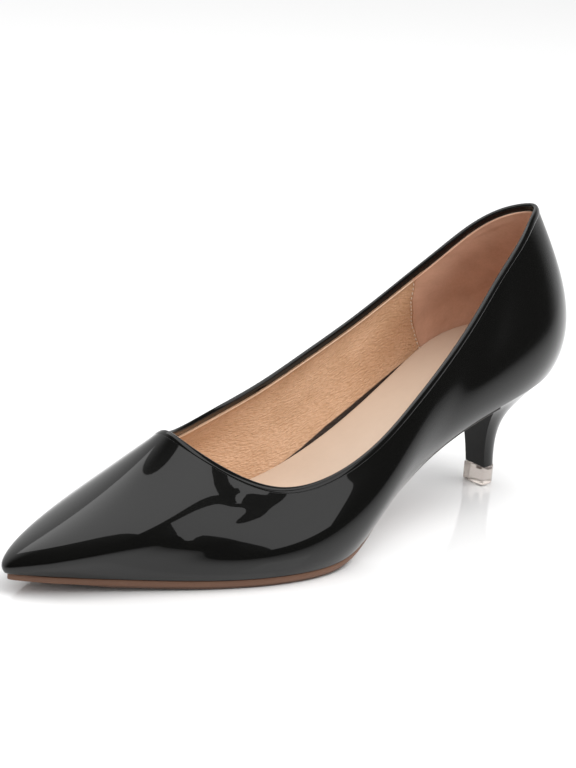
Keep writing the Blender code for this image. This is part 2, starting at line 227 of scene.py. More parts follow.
def toWorld(points):
    x = points[..., 1] - shoe["centreAcross"]
    y = shoe["centreAlong"] - points[..., 0]
    return np.stack([x, y, points[..., 2]], axis=-1) * millimetre


def readPoints(mesh):
    flat = np.empty(len(mesh.vertices) * 3)
    mesh.vertices.foreach_get("co", flat)
    return flat.reshape(-1, 3)


def ringSheet(name, rings, closedRound=True, closedRows=False, caps=()):
    # a grid primitive laid on rings of points: rows of faces between rings, each ring one row
    rings = np.asarray(rings, float)
    count = rings.shape[1]
    if closedRound:
        rings = np.concatenate([rings, rings[:, :1]], axis=1)
    if closedRows:
        rings = np.concatenate([rings, rings[:1]], axis=0)
    rows, columns = rings.shape[0] - 1, rings.shape[1] - 1
    bpy.ops.object.select_all(action="DESELECT")
    bpy.ops.mesh.primitive_grid_add(x_subdivisions=columns, y_subdivisions=rows, size=1.0)
    piece = bpy.context.active_object
    piece.name = name
    mesh = piece.data
    mesh.name = name
    spots = readPoints(mesh) + 0.5
    column = np.rint(spots[:, 0] * columns).astype(int)
    row = np.rint(spots[:, 1] * rows).astype(int)
    mesh.vertices.foreach_set("co", toWorld(rings[row, column]).ravel())
    layUvs(mesh, rings, row, column)
    corner = {(int(r), int(c)): v for v, (r, c) in enumerate(zip(row, column))}
    capRings = [[corner[(capRow % (rows + 1), c)] for c in range(count)] for capRow in caps]
    sewSheet(mesh, capRings, closedRows)
    finishShading(piece)
    return piece


def sewSheet(mesh, capRings, closedRows):
    # close the ends that have a cap and merge the seams
    work = bmesh.new()
    work.from_mesh(mesh)
    work.verts.ensure_lookup_table()
    for ring in capRings:
        capLadder(work, ring)
    bmesh.ops.remove_doubles(work, verts=work.verts, dist=shoe["seamMerge"])
    if closedRows or capRings:
        bmesh.ops.recalc_face_normals(work, faces=work.faces)
    work.to_mesh(mesh)
    work.free()


def layUvs(mesh, rings, row, column):
    # real lengths along and across the rings, so that grain and stitches keep their size
    along = np.zeros(rings.shape[:2])
    up = np.zeros(rings.shape[:2])
    along[:, 1:] = np.cumsum(np.linalg.norm(np.diff(rings, axis=1), axis=2), axis=1)
    up[1:] = np.cumsum(np.linalg.norm(np.diff(rings, axis=0), axis=2), axis=0)
    loopVertex = np.empty(len(mesh.loops), dtype=np.int32)
    mesh.loops.foreach_get("vertex_index", loopVertex)
    uv = np.stack([along[row, column], up[row, column]], axis=1)[loopVertex] / shoe["uvLength"]
    mesh.uv_layers.active.data.foreach_set("uv", uv.ravel())


def capLadder(work, ring):
    # rungs run straight across between vertices i and count - i of the ring
    count = len(ring)
    for i in range(count // 2 + count % 2):
        corners = [i, i + 1, (count - i - 1) % count, (count - i) % count]
        unique = list(dict.fromkeys(corners))
        if len(unique) > 2:
            work.faces.new([work.verts[ring[c]] for c in unique])


def selectOnly(*pieces):
    bpy.ops.object.select_all(action="DESELECT")
    for piece in pieces:
        piece.select_set(True)
    bpy.context.view_layer.objects.active = pieces[0]


def finishShading(piece):
    selectOnly(piece)
    bpy.ops.object.shade_smooth_by_angle(angle=math.radians(shoe["smoothAngle"]))


def faceOut(piece, away):
    # turn an open sheet's faces so that most of them point along the given directions
    mesh = piece.data
    total = 0.0
    for polygon in mesh.polygons:
        total += polygon.normal.dot(Vector(away(polygon.center)))
    if total < 0.0:
        selectOnly(piece)
        bpy.ops.object.mode_set(mode="EDIT")
        bpy.ops.mesh.select_all(action="SELECT")
        bpy.ops.mesh.flip_normals()
        bpy.ops.object.mode_set(mode="OBJECT")


def awayFromMiddle(point):
    # from the middle of the foot, which lies a little over the bed
    along = shoe["centreAlong"] - point.y / millimetre
    middle = (bedHeight(along) + shoe["footMiddle"]) * millimetre
    return (point.x, 0.0, point.z - middle)


def towardsMiddle(point):
    return tuple(-value for value in awayFromMiddle(point))


def applyModifier(piece, kind, **settings):
    selectOnly(piece)
    modifier = piece.modifiers.new(kind.lower(), kind)
    for name, value in settings.items():
        setattr(modifier, name, value)
    bpy.ops.object.modifier_apply(modifier=modifier.name)


def thicken(piece, thickness):
    applyModifier(piece, "SOLIDIFY", thickness=thickness * millimetre, offset=-1.0, use_even_offset=True)
    finishShading(piece)


def fitPiece(piece, slotName, material, *nodes):
    piece.data.materials.clear()
    piece.data.materials.append(material)
    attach(piece, "root")
    if nodes:
        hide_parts(*nodes)
    return piece


# Materials

def newMaterial(name, **sockets):
    material = bpy.data.materials.new(name)
    material.use_nodes = True
    shader = material.node_tree.nodes["Principled BSDF"]
    for socket, value in sockets.items():
        shader.inputs[socket.replace("_", " ")].default_value = value
    return material, material.node_tree, shader


def feed(tree, socket, value):
    # a link where the value comes from another node, and otherwise a constant
    if isinstance(value, bpy.types.NodeSocket):
        tree.links.new(value, socket)
    else:
        socket.default_value = value


def addNode(tree, kind, inputs=None, **settings):
    node = tree.nodes.new(kind)
    for name, value in settings.items():
        setattr(node, name, value)
    for name, value in (inputs or {}).items():
        feed(tree, node.inputs[name], value)
    return node


def arithmetic(tree, operation, first, second):
    return addNode(tree, "ShaderNodeMath", {0: first, 1: second}, operation=operation).outputs[0]


def mixColours(tree, factor, first, second):
    return addNode(tree, "ShaderNodeMix", {0: factor, 6: first, 7: second}, data_type="RGBA").outputs[2]


def mapRange(tree, value, low, high, toLow=0.0, toHigh=1.0, **settings):
    inputs = {"Value": value, "From Min": low, "From Max": high, "To Min": toLow, "To Max": toHigh}
    return addNode(tree, "ShaderNodeMapRange", inputs, **settings).outputs[0]


def noise(tree, vector, scale, detail, output="Fac"):
    inputs = {"Vector": vector, "Scale": scale, "Detail": detail}
    return addNode(tree, "ShaderNodeTexNoise", inputs).outputs[output]


def newGroup(name, floats, results):
    # a node group that takes a vector and floats, and gives floats
    group = bpy.data.node_groups.new(name, "ShaderNodeTree")
    group.interface.new_socket("Vector", in_out="INPUT", socket_type="NodeSocketVector")
    for label, value in floats.items():
        socket = group.interface.new_socket(label, in_out="INPUT", socket_type="NodeSocketFloat")
        socket.default_value = value
    for label in results:
        group.interface.new_socket(label, in_out="OUTPUT", socket_type="NodeSocketFloat")
    return group, group.nodes.new("NodeGroupInput").outputs, group.nodes.new("NodeGroupOutput").inputs


def makeGrainGroup():
    # leather grain in millimetres: cells broken up by noise, drawn out along the first axis
    group, given, result = newGroup("leather_grain", {"Cell": 1.0, "Stretch": 1.0}, ["Height", "Crease"])
    perCell = arithmetic(group, "DIVIDE", 1.0, given["Cell"])
    alongScale = arithmetic(group, "DIVIDE", perCell, given["Stretch"])
    scale = addNode(group, "ShaderNodeCombineXYZ", {"X": alongScale, "Y": perCell, "Z": perCell}).outputs[0]
    inputs = {0: given["Vector"], 1: scale}
    scaled = addNode(group, "ShaderNodeVectorMath", inputs, operation="MULTIPLY").outputs[0]
    inputs = {0: noise(group, scaled, 0.9, 2.0, "Color"), 1: scaled}
    shifted = addNode(group, "ShaderNodeVectorMath", inputs, operation="ADD").outputs[0]
    inputs = {"Vector": shifted, "Scale": 1.0, "Smoothness": 0.6}
    distance = addNode(group, "ShaderNodeTexVoronoi", inputs, feature="SMOOTH_F1").outputs["Distance"]
    dome = arithmetic(group, "SUBTRACT", 1.0, distance)
    fine = arithmetic(group, "MULTIPLY", noise(group, scaled, 3.1, 3.0), 0.35)
    feed(group, result["Height"], arithmetic(group, "ADD", dome, fine))
    feed(group, result["Crease"], mapRange(group, distance, 0.35, 0.8))
    return group


def makeMottleGroup():
    # slow change of a value over the surface, from two sizes of noise, between 0 and 1
    group, given, result = newGroup("soft_mottle", {"Size": 10.0, "Contrast": 1.0}, ["Value"])
    perSize = arithmetic(group, "DIVIDE", 1.0, given["Size"])
    large = arithmetic(group, "MULTIPLY", noise(group, given["Vector"], perSize, 2.0), 0.7)
    fineScale = arithmetic(group, "MULTIPLY", perSize, 7.0)
    fine = arithmetic(group, "MULTIPLY", noise(group, given["Vector"], fineScale, 3.0), 0.3)
    centred = arithmetic(group, "SUBTRACT", arithmetic(group, "ADD", large, fine), 0.5)
    spread = arithmetic(group, "MULTIPLY", centred, given["Contrast"])
    clamp = addNode(group, "ShaderNodeClamp", {"Value": arithmetic(group, "ADD", spread, 0.5)})
    feed(group, result["Value"], clamp.outputs[0])
    return group


grainGroup = makeGrainGroup()
mottleGroup = makeMottleGroup()


def scaleVector(tree, vector, factor):
    return addNode(tree, "ShaderNodeVectorMath", {0: vector, "Scale": factor}, operation="SCALE").outputs[0]


def uvMillimetres(tree):
    return scaleVector(tree, addNode(tree, "ShaderNodeUVMap").outputs[0], shoe["uvLength"])


def objectMillimetres(tree):
    return scaleVector(tree, addNode(tree, "ShaderNodeTexCoord").outputs["Object"], 1.0 / millimetre)


def placeAlong(tree):
    # millimetres from the middle of the shoe towards the heel
    return addNode(tree, "ShaderNodeSeparateXYZ", {"Vector": objectMillimetres(tree)}).outputs["Y"]


def grain(tree, vector, cell, stretch=1.0):
    inputs = {"Vector": vector, "Cell": cell, "Stretch": stretch}
    node = addNode(tree, "ShaderNodeGroup", inputs, node_tree=grainGroup)
    return node.outputs["Height"], node.outputs["Crease"]


def mottle(tree, vector, size, contrast):
    inputs = {"Vector": vector, "Size": size, "Contrast": contrast}
    return addNode(tree, "ShaderNodeGroup", inputs, node_tree=mottleGroup).outputs["Value"]


def bumpInto(tree, shader, height, distance):
    bump = addNode(tree, "ShaderNodeBump", {"Height": height, "Distance": distance * millimetre})
    tree.links.new(bump.outputs[0], shader.inputs["Normal"])


patentLook = {
    "colour": (0.0045, 0.0045, 0.0042, 1.0),
    "roughness": 0.22, "roughnessChange": 0.05,
    "coat": 0.78, "heelCoat": 0.5,
    "coatRoughness": 0.025, "backCoatRoughness": 0.15,     # the heel end shines more softly than the toe
    "softFrom": 5.0, "softTo": 75.0,                       # millimetres along the shoe, from its middle
    "grainCell": 2.4, "grainDepth": 0.002,
    "mottleSize": 14.0, "mottleContrast": 1.2,
}


def makePatent(name, coat):
    look = patentLook
    material, tree, shader = newMaterial(
        name, Base_Color=look["colour"], Specular_IOR_Level=0.06,
        Coat_Weight=coat, Coat_Roughness=look["coatRoughness"], Coat_IOR=1.5,
    )
    vector = objectMillimetres(tree)
    bumpInto(tree, shader, grain(tree, vector, look["grainCell"])[0], look["grainDepth"])
    value = mottle(tree, vector, look["mottleSize"], look["mottleContrast"])
    low, high = look["roughness"] - look["roughnessChange"], look["roughness"] + look["roughnessChange"]
    feed(tree, shader.inputs["Roughness"], mapRange(tree, value, 0.0, 1.0, low, high))
    coatRange = (look["softFrom"], look["softTo"], look["coatRoughness"], look["backCoatRoughness"])
    feed(tree, shader.inputs["Coat Roughness"], mapRange(tree, placeAlong(tree), *coatRange))
    return material


liningLook = {
    "colour": (0.78, 0.50, 0.32, 1.0),
    "deepColour": (0.54, 0.31, 0.17, 1.0),
    "creaseColour": 0.6,                      # share of the deep colour in the creases
    # painted shade: near-black colour standing in for the shadow in the gap between lining and insole
    "creviceShadeColour": (0.035, 0.022, 0.016, 1.0),
    "creviceShadeHeight": 3.0,                       # painted shade: how far the dark margin reaches above the lower edge, beside the insole's gap
    "creviceShadeFront": 2.0, "creviceShadeBack": 30.0,     # it grows between these places, from the middle of the shoe
    "creviceShadeWobble": 0.5, "creviceShadeWobbleScale": 0.25,
    "creviceShadeSoftness": (-0.2, 0.3),
    "roughness": (0.42, 0.62),                # on the cells and in the creases
    "cell": 0.75, "stretch": 2.3, "depth": 0.32,
    "mottleSize": 16.0, "mottleContrast": 1.6,
}


def creviceShadeShare(tree, vector):
    # 1 in the painted shade of the deep gap along the lining's lower edge, 0 above it
    look = liningLook
    grown = mapRange(tree, placeAlong(tree), look["creviceShadeFront"], look["creviceShadeBack"], 0.0, look["creviceShadeHeight"])
    wobble = noise(tree, vector, look["creviceShadeWobbleScale"], 3.0)
    up = addNode(tree, "ShaderNodeSeparateXYZ", {"Vector": vector}).outputs["Y"]
    lowered = arithmetic(tree, "SUBTRACT", up, arithmetic(tree, "MULTIPLY", wobble, look["creviceShadeWobble"]))
    return mapRange(tree, arithmetic(tree, "SUBTRACT", grown, lowered), *look["creviceShadeSoftness"])


def makeLining():
    look = liningLook
    material, tree, shader = newMaterial("tan_lining", Roughness=0.5, Specular_IOR_Level=0.45)
    vector = uvMillimetres(tree)
    height, crease = grain(tree, vector, look["cell"], look["stretch"])
    value = mottle(tree, vector, look["mottleSize"], look["mottleContrast"])
    body = mixColours(tree, value, look["deepColour"], look["colour"])
    creaseShare = arithmetic(tree, "MULTIPLY", crease, look["creaseColour"])
    creased = mixColours(tree, creaseShare, body, look["deepColour"])
    # the shadowed crevice beside the insole is painted in as a dark margin along the lower edge
    final = mixColours(tree, creviceShadeShare(tree, vector), creased, look["creviceShadeColour"])
    feed(tree, shader.inputs["Base Color"], final)
    feed(tree, shader.inputs["Roughness"], mapRange(tree, crease, 0.0, 1.0, *look["roughness"]))
    bumpInto(tree, shader, height, look["depth"])
    return material


counterLook = {
    "colour": (0.76, 0.46, 0.32, 1.0),
    "deepColour": (0.56, 0.31, 0.205, 1.0),
    "creaseColour": 0.25,
    "sheenTint": (1.0, 0.85, 0.75, 1.0),
    "napCell": 0.28, "napStretch": 1.3, "depth": 0.06,
    "mottleSize": 9.0, "mottleContrast": 1.8,
}


def makeCounterMaterial():
    look = counterLook
    material, tree, shader = newMaterial(
        "counter_lining", Roughness=0.78, Specular_IOR_Level=0.3,
        Sheen_Weight=0.25, Sheen_Roughness=0.5, Sheen_Tint=look["sheenTint"],
    )
    vector = uvMillimetres(tree)
    height, crease = grain(tree, vector, look["napCell"], look["napStretch"])
    value = mottle(tree, vector, look["mottleSize"], look["mottleContrast"])
    body = mixColours(tree, value, look["deepColour"], look["colour"])
    creaseShare = arithmetic(tree, "MULTIPLY", crease, look["creaseColour"])
    feed(tree, shader.inputs["Base Color"], mixColours(tree, creaseShare, body, look["deepColour"]))
    bumpInto(tree, shader, height, look["depth"])
    return material


# Smooth finishes: two colours, roughness, size of the grain and its depth in millimetres
plainLooks = {
    "thread": ((0.92, 0.80, 0.68), (0.80, 0.64, 0.50), 0.6, 0.3, 0.05),
    "light_edge": ((0.86, 0.66, 0.52), (0.74, 0.54, 0.40), 0.5, 0.4, 0.02),
    "insole_skin": ((0.65, 0.505, 0.39), (0.57, 0.43, 0.325), 0.42, 0.55, 0.03),
    # the board's near-black colour is painted shade: the bottom of the deep gap between insole and lining
    "board": ((0.035, 0.024, 0.018), (0.02, 0.014, 0.01), 0.8, 0.5, 0.08),
    "tread": ((0.15, 0.075, 0.045), (0.10, 0.05, 0.032), 0.4, 0.4, 0.03),
    "dowel_steel": ((0.16, 0.10, 0.08), (0.09, 0.06, 0.05), 0.4, 0.4, 0.02),
}
plainMottle = {"size": 12.0, "contrast": 1.2, "roughnessChange": 0.05}


def makePlain(name, size=plainMottle["size"], useUv=True, **sockets):
    # a smooth finish with fine grain and a slow change of colour
    colour, deepColour, roughness, cell, depth = plainLooks[name]
    material, tree, shader = newMaterial(name, **sockets)
    vector = uvMillimetres(tree) if useUv else objectMillimetres(tree)
    value = mottle(tree, vector, size, plainMottle["contrast"])
    body = mixColours(tree, value, (*deepColour, 1.0), (*colour, 1.0))
    feed(tree, shader.inputs["Base Color"], body)
    change = plainMottle["roughnessChange"]
    rough = mapRange(tree, value, 0.0, 1.0, roughness + change, roughness - change)
    feed(tree, shader.inputs["Roughness"], rough)
    bumpInto(tree, shader, grain(tree, vector, cell)[0], depth)
    return material


# Upper skin

skinSizes = {
    "columns": 420,
    "rows": 44,
    "thickness": 0.85,
    "topStop": 2.0,            # the skin ends under the binding, this far below the topline
    "rowCrowding": 1.15,       # above 1 the rows lie closer together at the sole
    "tuck": ((1.7, 0.24), (0.9, 0.22), (0.35, 0.12)),   # inset and drop where it turns under the sole edge
}
# Soft troughs and ridges of the pulled leather: place around, height, half lengths, depth in mm
skinEases = [
    (0.112, 0.52, 0.040, 0.16, 0.08),
    (0.220, 0.60, 0.030, 0.20, -0.10),
    (0.265, 0.35, 0.030, 0.20, 0.15),
    (0.915, 0.78, 0.024, 0.11, -0.26),
    (0.880, 0.52, 0.032, 0.15, 0.20),
    (0.780, 0.60, 0.030, 0.20, -0.24),
    (0.735, 0.35, 0.030, 0.20, 0.15),
    (0.400, 0.55, 0.040, 0.25, 0.10),
    (0.600, 0.55, 0.040, 0.25, 0.10),
]
# Pulled folds beside the throat: places (around, height), half width and depth in mm
throatFold = (
    (0.082, 0.97), (0.094, 0.95), (0.093, 0.90), (0.109, 0.86), (0.104, 0.80), (0.096, 0.73), (0.091, 0.65),
)
skinFolds = [
    (throatFold, 3.2, -0.26),
    (((0.914, 0.96), (0.905, 0.84), (0.908, 0.70)), 3.4, -0.22),
    (((0.852, 0.95), (0.860, 0.74), (0.872, 0.55)), 4.5, -0.18),
]


def foldDepth(folds, points):
    # soft grooves along lines on the wall
    total = np.zeros(len(points))
    for line, halfWidth, depth in folds:
        marks = np.array(line)
        corners = wallPoints(marks[:, 0], marks[:, 1])
        nearest = np.full(len(points), 1e9)
        for i in range(len(corners) - 1):
            run = corners[i + 1] - corners[i]
            share = np.clip((points - corners[i]) @ run / (run @ run), 0.0, 1.0)
            nearest = np.minimum(nearest, np.linalg.norm(points - corners[i] - share[:, None] * run, axis=1))
        total += depth * np.exp(-((nearest / halfWidth) ** 2))
    return total


def easeDepth(eases, around, height):
    total = np.zeros(len(around))
    for middle, level, halfAround, halfHeight, depth in eases:
        gap = (around - middle + 0.5) % 1.0 - 0.5
        total += depth * np.exp(-((gap / halfAround) ** 2) - ((height - level) / halfHeight) ** 2)
    return total


def makeSkin(material):
    sizes = skinSizes
    around = np.arange(sizes["columns"]) / sizes["columns"]
    top = heightBelowTop(around, sizes["topStop"])
    rings = []
    for inset, drop in sizes["tuck"]:
        ring = featherInset(around, inset)
        ring[:, 2] -= drop
        rings.append(ring)
    for share in np.linspace(0.0, 1.0, sizes["rows"]) ** sizes["rowCrowding"]:
        height = share * top
        fade = smoothStep(0.0, 0.15, share) * smoothStep(1.0, 0.93, share)
        ease = easeDepth(skinEases, around, height) + foldDepth(skinFolds, wallPoints(around, height))
        rings.append(wallOffset(around, height, fade * ease))
    piece = ringSheet("patent_upper", rings)
    faceOut(piece, awayFromMiddle)
    thicken(piece, sizes["thickness"])
    return fitPiece(piece, "patent", material, "upper")


# Binding round the topline; its profile gives distance below the topline and offset from the outer face
bindingSizes = {
    "columns": 480,
    "heelRise": 1.3,
    "heelFrom": 0.16, "heelTo": 0.04,           # of the way around, from the back of the heel
    "innerFrom": 3.0, "innerOffset": -1.0,      # past these a point of the profile lies low inside
    "profile": (
        (2.75, -0.25), (2.70, 0.00), (2.58, 0.12), (2.30, 0.19), (1.90, 0.22), (1.40, 0.21),
        (0.95, 0.16), (0.52, 0.04), (0.20, -0.16), (0.04, -0.48), (0.00, -0.90), (0.04, -1.28),
        (0.22, -1.58), (0.55, -1.74), (1.00, -1.81), (1.70, -1.85), (2.60, -1.88), (3.30, -1.90),
        (3.80, -1.90), (4.12, -1.85), (4.28, -1.72), (4.22, -1.48), (3.40, -1.30), (2.00, -1.15),
        (1.40, -0.90), (1.60, -0.50), (2.40, -0.30),
    ),
}


def innerDepth(around, distance):
    # the binding reaches less far down inside the heel than beside the foot
    sizes = bindingSizes
    heel = smoothStep(sizes["heelFrom"], sizes["heelTo"], np.abs(np.mod(around, 1.0) - 0.5))
    return distance - sizes["heelRise"] * heel


def heightAtDepth(around, distances):
    # as heightBelowTop, with a distance of its own for each place
    low = heightBelowTop(around, distances.min())
    high = heightBelowTop(around, distances.max())
    spread = max(distances.max() - distances.min(), 1e-6)
    return low + (high - low) * (distances - distances.min()) / spread


def innerHeight(around, distance):
    return heightAtDepth(around, innerDepth(around, distance))


def makeBinding(material):
    sizes = bindingSizes
    around = np.arange(sizes["columns"]) / sizes["columns"]
    rings = []
    for distance, offset in sizes["profile"]:
        height = heightBelowTop(around, distance)
        if distance > sizes["innerFrom"] and offset < sizes["innerOffset"]:
            height = innerHeight(around, distance)
        rings.append(wallOffset(around, height, offset))
    piece = ringSheet("topline_binding", rings, closedRows=True)
    return fitPiece(piece, "patent", material)


# Linings
liningSizes = {
    "columns": 300,
    "rows": 40,
    "thickness": 0.6, "counterThickness": 0.4,
    "cordDepth": 4.35, "cordOffset": -2.20, "cordRadius": 0.38,     # the turned edge under the binding
    "topStop": 4.45,           # upper edge, below the topline
    "bottom": 0.015,           # share of the wall's height where the lining starts
    "fades": (0.2, 0.85),      # shares of the height where the eases reach and leave their full depth
    "counterFades": (0.1, 0.93),
    "levelSpan": 0.9,          # how far up the counter's front edge is followed
    "edgeRoll": 0.7,           # how far the turned upper edge stands proud, over edgeWidth
    "edgeWidth": 0.495,
    "rollSteps": (0.15, 1.0, 6), "rollHalfTurns": 0.8,
    "counterRaise": 0.45,      # the counter lining lies on the quarter lining
    "counterThin": 0.45, "counterThinFrom": 0.975,      # share of that at its front edge
    "counterRoll": 0.25,       # its upper edge stands this much further in
    "counterColumns": 190,
    "overlap": 0.012,          # of the way around, under the counter lining
    "stitchLevels": (0.08, 0.90), "stitchStart": 0.4,
    "stitchLength": 1.35,
    "stitchGap": 0.75,
    "stitchAhead": 0.8,        # in front of the counter lining's edge
    "stitchProud": 0.18,
    "stitchRadius": 0.28,
}
# The counter lining's front edge: height on the wall and place around on the inner side
counterEdge = [
    (0.0, 0.5955), (0.10, 0.5993), (0.175, 0.6021), (0.28, 0.6069),
    (0.51, 0.6222), (0.675, 0.6361), (0.87, 0.6465), (1.0, 0.6515),
]
liningEases = [
    (0.870, 0.45, 0.050, 0.16, 0.45),
    (0.800, 0.62, 0.040, 0.12, -0.40),
    (0.760, 0.35, 0.050, 0.14, 0.35),
    (0.700, 0.55, 0.035, 0.16, -0.35),
    (0.960, 0.50, 0.030, 0.20, -0.30),
    (0.130, 0.45, 0.050, 0.16, 0.40),
    (0.200, 0.60, 0.040, 0.12, -0.35),
    (0.250, 0.35, 0.050, 0.14, 0.30),
    (0.310, 0.55, 0.035, 0.16, -0.30),
]
counterEases = [
    (0.560, 0.90, 0.030, 0.020, -0.35),
    (0.545, 0.86, 0.035, 0.030, 0.25),
    (0.600, 0.60, 0.030, 0.18, -0.30),
    (0.440, 0.60, 0.030, 0.18, -0.30),
    (0.500, 0.45, 0.040, 0.20, 0.20),
]


def edgePlace(height):
    rows = np.array(counterEdge)
    return np.interp(height, rows[:, 0], rows[:, 1])


def quarterAround(level):
    # from one front edge of the counter lining round the toe to the other
    spread = np.linspace(-1.0, 1.0, liningSizes["columns"])
    return np.mod(spread * (1.0 - edgePlace(level) + liningSizes["overlap"]), 1.0)


def counterAround(level):
    # from front edge to front edge round the heel
    spread = np.linspace(-1.0, 1.0, liningSizes["counterColumns"])
    return 0.5 + spread * (edgePlace(level) - 0.5)


def rollEdge(rings, around, extra):
    # add the lining's turned upper edge, a thin round lip against the binding
    sizes = liningSizes
    for turn in np.linspace(*sizes["rollSteps"]):
        distance = sizes["topStop"] - sizes["edgeWidth"] * turn
        proud = sizes["edgeRoll"] * math.sin(math.pi * sizes["rollHalfTurns"] * turn)
        height = innerHeight(around, distance)
        rings.append(wallOffset(around, height, -shoe["wall"] - extra - proud))
    return rings


def makeLiningSheet(name, aroundAt, eases, material, fades, thickness, raised=0.0, roll=0.0):
    # rows from the sole to the turned edge; the eases fade out at the lower and upper edge
    sizes = liningSizes
    rings = []
    for share in np.linspace(0.0, 1.0, sizes["rows"]):
        around = aroundAt(sizes["bottom"] + share * sizes["levelSpan"])
        height = sizes["bottom"] + share * (innerHeight(around, sizes["topStop"]) - sizes["bottom"])
        fade = smoothStep(0.0, fades[0], share) * smoothStep(1.0, fades[1], share)
        ease = fade * easeDepth(eases, around, height)
        rings.append(wallOffset(around, height, -shoe["wall"] - raised + ease))
    piece = ringSheet(name, rollEdge(rings, aroundAt(1.0), roll), closedRound=False)
    faceOut(piece, towardsMiddle)
    thicken(piece, thickness)
    return fitPiece(piece, "lining", material)


def makeQuarterLining(material):
    sizes = liningSizes
    fades, thickness = sizes["fades"], sizes["thickness"]
    return makeLiningSheet("quarter_lining", quarterAround, liningEases, material, fades, thickness)


def makeCounterLining(material):
    # it lies on the quarter lining, thinner at its front edge
    sizes = liningSizes
    toEdge = np.abs(np.linspace(-1.0, 1.0, sizes["counterColumns"]))
    thin = sizes["counterThin"]
    full = smoothStep(1.0, sizes["counterThinFrom"], toEdge)
    return makeLiningSheet(
        "counter_lining", counterAround, counterEases, material,
        sizes["counterFades"], sizes["counterThickness"],
        raised=sizes["counterRaise"] * (thin + (1.0 - thin) * full), roll=sizes["counterRoll"],
    )


def makeLiningEdge(material):
    # the lining's turned edge shows as a fine light line all along the binding
    sizes = liningSizes
    around = np.arange(bindingSizes["columns"]) / bindingSizes["columns"]
    rings = []
    for turn in np.arange(8) * math.pi / 4.0:
        height = innerHeight(around, sizes["cordDepth"] + sizes["cordRadius"] * math.cos(turn))
        offset = sizes["cordOffset"] + sizes["cordRadius"] * math.sin(turn)
        rings.append(wallOffset(around, height, offset))
    piece = ringSheet("lining_edge", rings, closedRows=True)
    return fitPiece(piece, "lining", material)


def stitchEnds(side):
    # start, middle and end of each stitch along one front edge of the counter lining
    sizes = liningSizes
    level = np.linspace(*sizes["stitchLevels"], 200)
    around = 0.5 + side * (edgePlace(level) - 0.5)
    proud = -shoe["wall"] - sizes["stitchProud"]
    line = wallOffset(around, level, proud)
    ahead = wallOffset(around + side * 0.004, level, proud) - line
    line = line + ahead * (sizes["stitchAhead"] / np.linalg.norm(ahead, axis=1))[:, None]
    travel = np.concatenate([[0.0], np.cumsum(np.linalg.norm(np.diff(line, axis=0), axis=1))])
    start = sizes["stitchStart"]
    stitches = []
    while start + sizes["stitchLength"] < travel[-1]:
        marks = start + sizes["stitchLength"] * np.array([0.0, 0.5, 1.0])
        stitches.append(np.stack([np.interp(marks, travel, line[:, axis]) for axis in range(3)], axis=1))
        start += sizes["stitchLength"] + sizes["stitchGap"]
    return stitches


def makeLiningStitches(material):
    # a row of thread along the counter lining's front edge, on both sides of the heel
    radius = liningSizes["stitchRadius"] * millimetre
    pieces = []
    for points in stitchEnds(1.0) + stitchEnds(-1.0):
        first, middle, last = (Vector(point) for point in toWorld(points))
        run = last - first
        bpy.ops.object.select_all(action="DESELECT")
        bpy.ops.mesh.primitive_uv_sphere_add(segments=8, ring_count=6, radius=radius)
        stitch = bpy.context.active_object
        stitch.data.transform(Matrix.Scale(0.5 * run.length / radius, 4, (0, 0, 1)))
        stitch.data.transform(Matrix.Translation(middle) @ run.to_track_quat("Z", "Y").to_matrix().to_4x4())
        pieces.append(stitch)
    selectOnly(*pieces)
    bpy.ops.object.join()
    joined = bpy.context.active_object
    joined.name = "counter_stitches"
    finishShading(joined)
    return fitPiece(joined, "lining", material)


# Insole and the board under it
insoleSizes = {
    "stations": 150,
    "across": 40,
    "rim": ((0.0, 2.3), (0.0, 0.85), (0.07, 0.45), (0.26, 0.16), (0.7, 0.0)),   # inset and drop of the edge
    "rimShare": 0.3,                                # of the width, the most that the edge takes up
    "margin": 0.04,
    "wallReach": 0.8,                               # share of the wall's height that the edge can meet
    "clearance": 0.15,
    "smoothing": 5,
    "heelHollow": (60.0, 20.0), "forepartCrown": (90.0, 130.0),      # places from the back of the seat
    "boardStations": 90,
    "boardInset": 2.3,
    "boardLift": 0.15,
    "boardThickness": 0.5,
    "crown": 0.5, "crownWidth": 30.0, "forepartShare": 0.4,
}
# Shallow dents and swells of the padding: distance from the back in metres, share across, half lengths, depth
insoleEases = [
    (0.060, 0.55, 0.016, 0.35, -0.30),
    (0.094, 0.40, 0.013, 0.40, 0.28),
    (0.118, 0.60, 0.012, 0.40, -0.22),
    (0.142, 0.45, 0.014, 0.45, 0.22),
    (0.168, 0.55, 0.015, 0.40, -0.25),
]
insoleColumns = ("along", "outerGap", "innerGap", "thickness")
insoleRows = [
    (252.0, 4.0, 4.0, 3.0),
    (235.0, 0.5, 0.5, 3.0),
    (128.0, 0.5, 0.5, 3.2),
    (110.0, 0.8, 1.0, 3.6),
    (92.0, 1.4, 1.7, 4.1),
    (76.0, 1.4, 1.8, 4.7),
    (58.0, 1.2, 1.5, 5.6),
    (40.0, 0.8, 1.1, 7.4),
    (20.0, 0.7, 0.9, 9.0),
    (-2.0, 0.7, 0.8, 9.2),
]


def insoleValues(around, name):
    along = loopValues(feather, around)[:, 0]
    knots = tableColumn(insoleRows, insoleColumns, "along")[::-1]
    return np.interp(along, knots, tableColumn(insoleRows, insoleColumns, name)[::-1])


def smoothed(values, width):
    # running mean along the shoe, so that the insole's edge has no corners
    kernel = np.hanning(2 * width + 1)
    padded = np.pad(values, width, mode="edge")
    return np.convolve(padded, kernel / kernel.sum(), mode="valid")


def besideLining(around, lift, gap):
    # points on the lining at a lift over the bed, moved in by a gap
    heights = np.linspace(0.0, insoleSizes["wallReach"], 61)
    walls = np.stack([wallOffset(around, height, -shoe["wall"]) for height in heights], axis=1)
    base = loopValues(feather, around)[:, 2]
    points = np.zeros((len(around), 3))
    for i in range(len(around)):
        lifts = walls[i, :, 2] - base[i]
        points[i] = [np.interp(lift[i], lifts, walls[i, :, axis]) for axis in range(3)]
    points[:, 0:2] -= gap[:, None] * outward(feather, around)
    points[:, 2] = bedHeight(points[:, 0]) + lift
    return points


